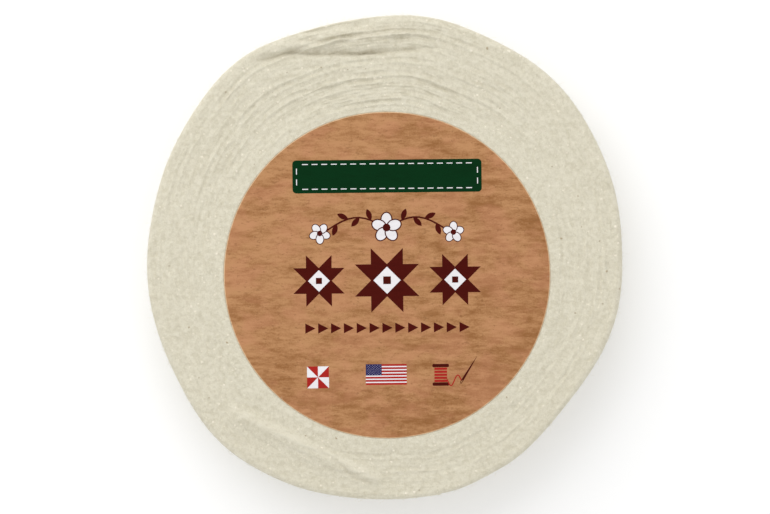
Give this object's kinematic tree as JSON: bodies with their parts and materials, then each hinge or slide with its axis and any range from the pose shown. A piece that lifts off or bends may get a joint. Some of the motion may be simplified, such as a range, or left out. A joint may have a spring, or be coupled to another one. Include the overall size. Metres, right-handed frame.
{
  "type": "roll of quilt batting",
  "caption": "Flat round roll of narrow cotton quilt batting wound on itself, with soft uneven edges and a round brown card label on its face.",
  "frame": {"origin": "middle of the roll's box, on the flat back face that it lies on", "axes": "+Z along the axis of the winding, up out of the labelled face; +Y towards the top of the label's print; +X to its right"},
  "size_m": [0.3726, 0.3794, 0.0609],
  "materials": {
    "batting": "needled unbleached cotton, soft and matt, with small dark flecks of seed",
    "label_card": "uncoated brown kraft card with a printed face"
  },
  "bodies": {
    "root": {"batting_roll": "batting", "label": "label_card"}
  },
  "joints": []
}
